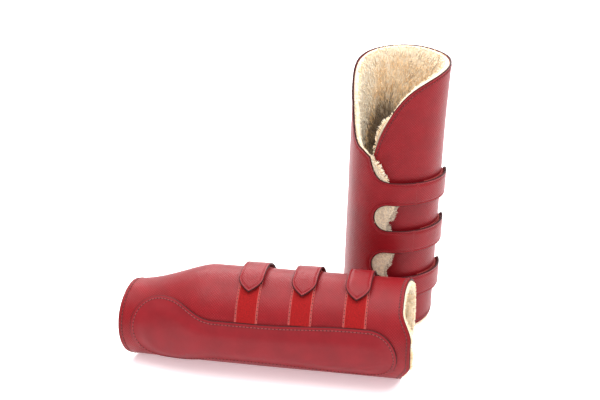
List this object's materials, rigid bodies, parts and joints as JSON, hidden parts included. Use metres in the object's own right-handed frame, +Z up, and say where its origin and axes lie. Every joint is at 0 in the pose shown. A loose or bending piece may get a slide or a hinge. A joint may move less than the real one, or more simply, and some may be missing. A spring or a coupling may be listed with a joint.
{
  "type": "tendon boots",
  "caption": "Pair of sheepskin-lined leather tendon boots for a horse's forelegs, with strap fastening; one stands and one lies on its side.",
  "frame": {"origin": "bottom centre of the pair's bounding box, on the floor", "axes": "+X along the lying boot from its knee end to its lower end, +Z up, -Y towards the lying boot"},
  "size_m": [0.3158, 0.2458, 0.2965],
  "materials": {
    "leather": "fine cross-grained, satin",
    "pad_leather": "smooth satin",
    "fleece": "sheepskin wool, matt",
    "loop_tape": "napped nylon loop, matt",
    "hook_tape": "nylon hook, matt",
    "pad_foam": "closed-cell foam, matt"
  },
  "bodies": {
    "right_shell": {"right_outer_shell": "leather", "right_shell_lining": "fleece", "right_tendon_pad_cover": "pad_leather", "right_tendon_pad_foam": "pad_foam", "right_loop_tape_1": "loop_tape", "right_loop_tape_2": "loop_tape", "right_loop_tape_3": "loop_tape"},
    "right_flap": {"right_front_flap": "leather", "right_flap_lining": "fleece", "right_strap_1": "leather", "right_strap_2": "leather", "right_strap_3": "leather"},
    "right_strap_end_1": {"right_strap_tip_1": "leather", "right_hook_tape_1": "hook_tape"},
    "right_strap_end_2": {"right_strap_tip_2": "leather", "right_hook_tape_2": "hook_tape"},
    "right_strap_end_3": {"right_strap_tip_3": "leather", "right_hook_tape_3": "hook_tape"},
    "left_shell": {"left_outer_shell": "leather", "left_shell_lining": "fleece", "left_tendon_pad_cover": "pad_leather", "left_tendon_pad_foam": "pad_foam", "left_loop_tape_1": "loop_tape", "left_loop_tape_2": "loop_tape", "left_loop_tape_3": "loop_tape"},
    "left_flap": {"left_front_flap": "leather", "left_flap_lining": "fleece", "left_strap_1": "leather", "left_strap_2": "leather", "left_strap_3": "leather"},
    "left_strap_end_1": {"left_strap_tip_1": "leather", "left_hook_tape_1": "hook_tape"},
    "left_strap_end_2": {"left_strap_tip_2": "leather", "left_hook_tape_2": "hook_tape"},
    "left_strap_end_3": {"left_strap_tip_3": "leather", "left_hook_tape_3": "hook_tape"}
  },
  "joints": [
    {"name": "pair_apart", "type": "slide", "parent": "right_shell", "child": "left_flap", "axis": [0, 1, 0], "range_m": [0, 0.15]},
    {"name": "right_flap_open", "type": "hinge", "parent": "right_shell", "child": "right_flap", "pos_m": [0.03859, -0.03571, 0.01089], "axis": [-1, 0, 0], "range_deg": [0, 20]},
    {"name": "left_shell_open", "type": "hinge", "parent": "left_flap", "child": "left_shell", "pos_m": [0.05668, 0.03972, 0.1], "axis": [0.0261, 0.0128, 0.9996], "range_deg": [0, 45]},
    {"name": "left_strap_1_peel", "type": "hinge", "parent": "left_flap", "child": "left_strap_end_1", "pos_m": [0.14919, 0.03686, 0.1612], "axis": [-0.0261, -0.0128, -0.9996], "range_deg": [0, 85]},
    {"name": "left_strap_2_peel", "type": "hinge", "parent": "left_flap", "child": "left_strap_end_2", "pos_m": [0.1478, 0.03618, 0.108], "axis": [-0.0261, -0.0128, -0.9996], "range_deg": [0, 85]},
    {"name": "left_strap_3_peel", "type": "hinge", "parent": "left_flap", "child": "left_strap_end_3", "pos_m": [0.14641, 0.0355, 0.0548], "axis": [-0.0261, -0.0128, -0.9996], "range_deg": [0, 85]},
    {"name": "right_strap_1_peel", "type": "hinge", "parent": "right_flap", "child": "right_strap_end_1", "pos_m": [-0.02261, -0.04791, 0.10104], "axis": [-1, 0, 0], "range_deg": [0, 85]},
    {"name": "right_strap_2_peel", "type": "hinge", "parent": "right_flap", "child": "right_strap_end_2", "pos_m": [0.03059, -0.04791, 0.10104], "axis": [-1, 0, 0], "range_deg": [0, 85]},
    {"name": "right_strap_3_peel", "type": "hinge", "parent": "right_flap", "child": "right_strap_end_3", "pos_m": [0.08379, -0.04791, 0.10104], "axis": [-1, 0, 0], "range_deg": [0, 85]}
  ]
}
